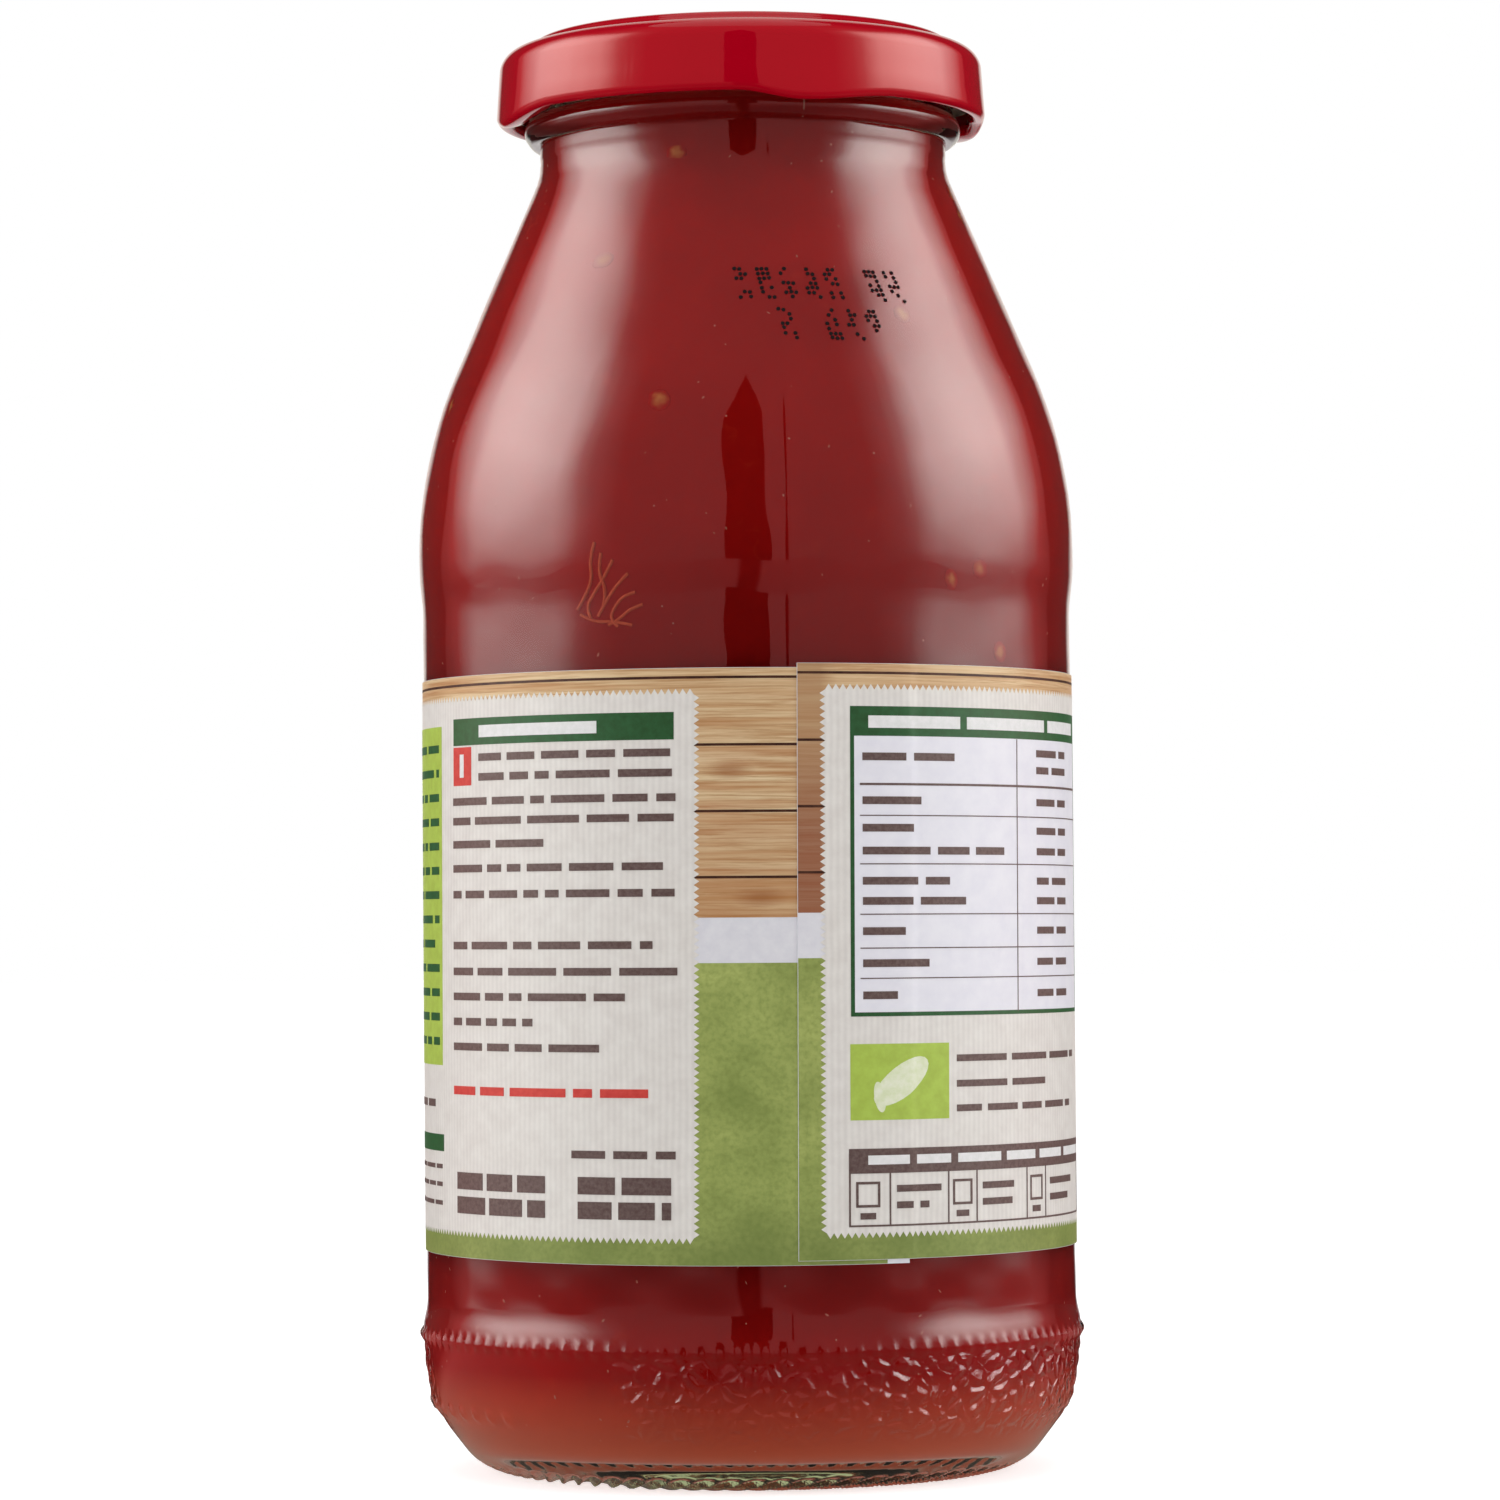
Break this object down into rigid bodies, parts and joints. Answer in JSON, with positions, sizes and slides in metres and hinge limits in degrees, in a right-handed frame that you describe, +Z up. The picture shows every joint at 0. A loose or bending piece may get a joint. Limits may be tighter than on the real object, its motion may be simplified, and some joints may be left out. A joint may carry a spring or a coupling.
{
  "type": "jar of tomato pulp",
  "caption": "Straight-sided glass jar with a sloping shoulder, filled with tomato pulp, shut with a red lug cap and wrapped in a paper label.",
  "frame": {"origin": "centre of the foot, on the surface the jar stands on", "axes": "+Z up along the jar's axis; -Y towards the side where the label's ends meet; +X to the right seen from that side"},
  "size_m": [0.0756, 0.0756, 0.1644],
  "materials": {
    "clear_glass": "clear flint glass, fire polished",
    "tomato_pulp": "wet deep red tomato pulp",
    "red_lacquered_steel": "glossy red lacquer on tinplate",
    "printed_paper": "printed label paper, satin"
  },
  "bodies": {
    "root": {"jar_glass": "clear_glass", "tomato_pulp": "tomato_pulp", "lid": "red_lacquered_steel", "label": "printed_paper"}
  },
  "joints": []
}
